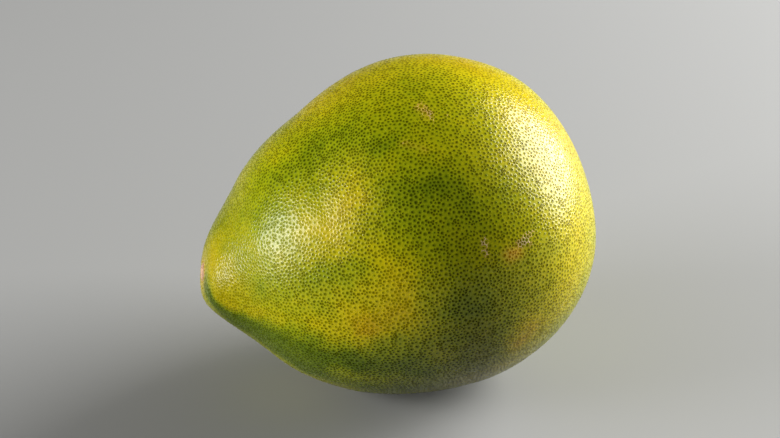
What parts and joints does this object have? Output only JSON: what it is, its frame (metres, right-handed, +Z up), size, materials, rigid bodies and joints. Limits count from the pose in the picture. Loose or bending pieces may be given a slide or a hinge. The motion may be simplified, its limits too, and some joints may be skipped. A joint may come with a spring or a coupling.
{
  "type": "oroblanco",
  "caption": "Whole pear-shaped green and yellow citrus fruit lying on its side, with a stem scar and a small flat spot it rests on.",
  "frame": {"origin": "middle of the small flat spot the fruit rests on", "axes": "+X from the narrow stem end towards the broad blossom end, level with the floor; +Z up; +Y across"},
  "size_m": [0.1474, 0.1246, 0.1244],
  "materials": {
    "peel": "waxy, satin peel with dense oil-gland dimples"
  },
  "bodies": {
    "root": {"fruit": "peel"}
  },
  "joints": []
}
